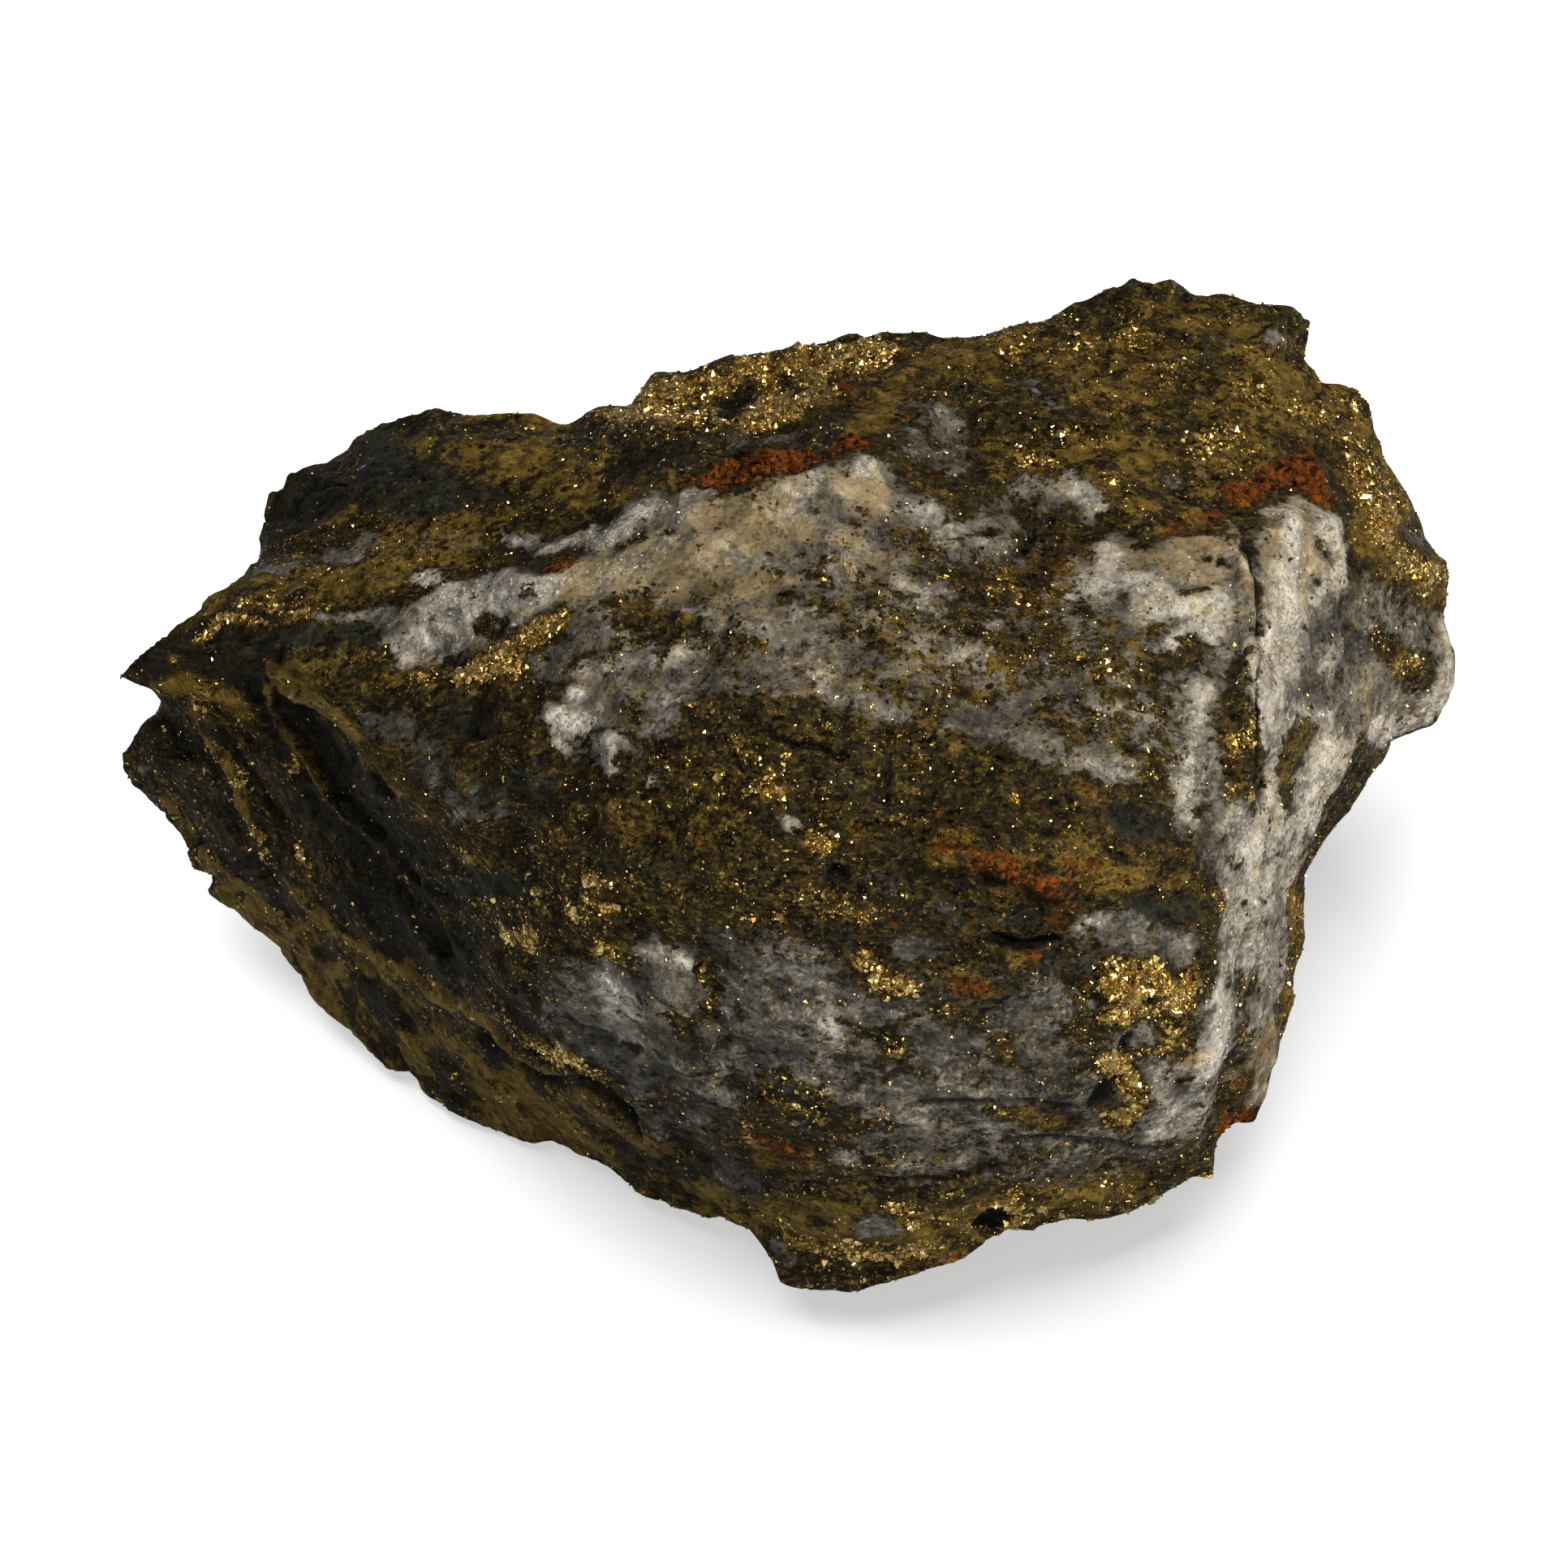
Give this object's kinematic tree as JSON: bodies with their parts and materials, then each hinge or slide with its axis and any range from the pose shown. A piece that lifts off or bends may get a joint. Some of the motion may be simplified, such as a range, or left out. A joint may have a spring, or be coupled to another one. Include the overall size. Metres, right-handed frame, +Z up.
{
  "type": "quartz and pyrite specimen",
  "caption": "Broken lump of massive white and grey quartz with fine-grained golden pyrite, resting on a small flat spot of its underside.",
  "frame": {"origin": "under the middle of the stone's bounding box, on the flat spot that it rests on", "axes": "+X along the stone's length, with its thin tip towards -X; -Y towards the broad broken front with the quartz vein; +Z up"},
  "size_m": [0.1016, 0.0706, 0.0508],
  "materials": {
    "ore": "rough broken ore: cream and grey sugary quartz, dark olive groundmass full of bright golden pyrite grains, ochre and rust stains"
  },
  "bodies": {
    "root": {"quartz_pyrite_rock": "ore"}
  },
  "joints": []
}
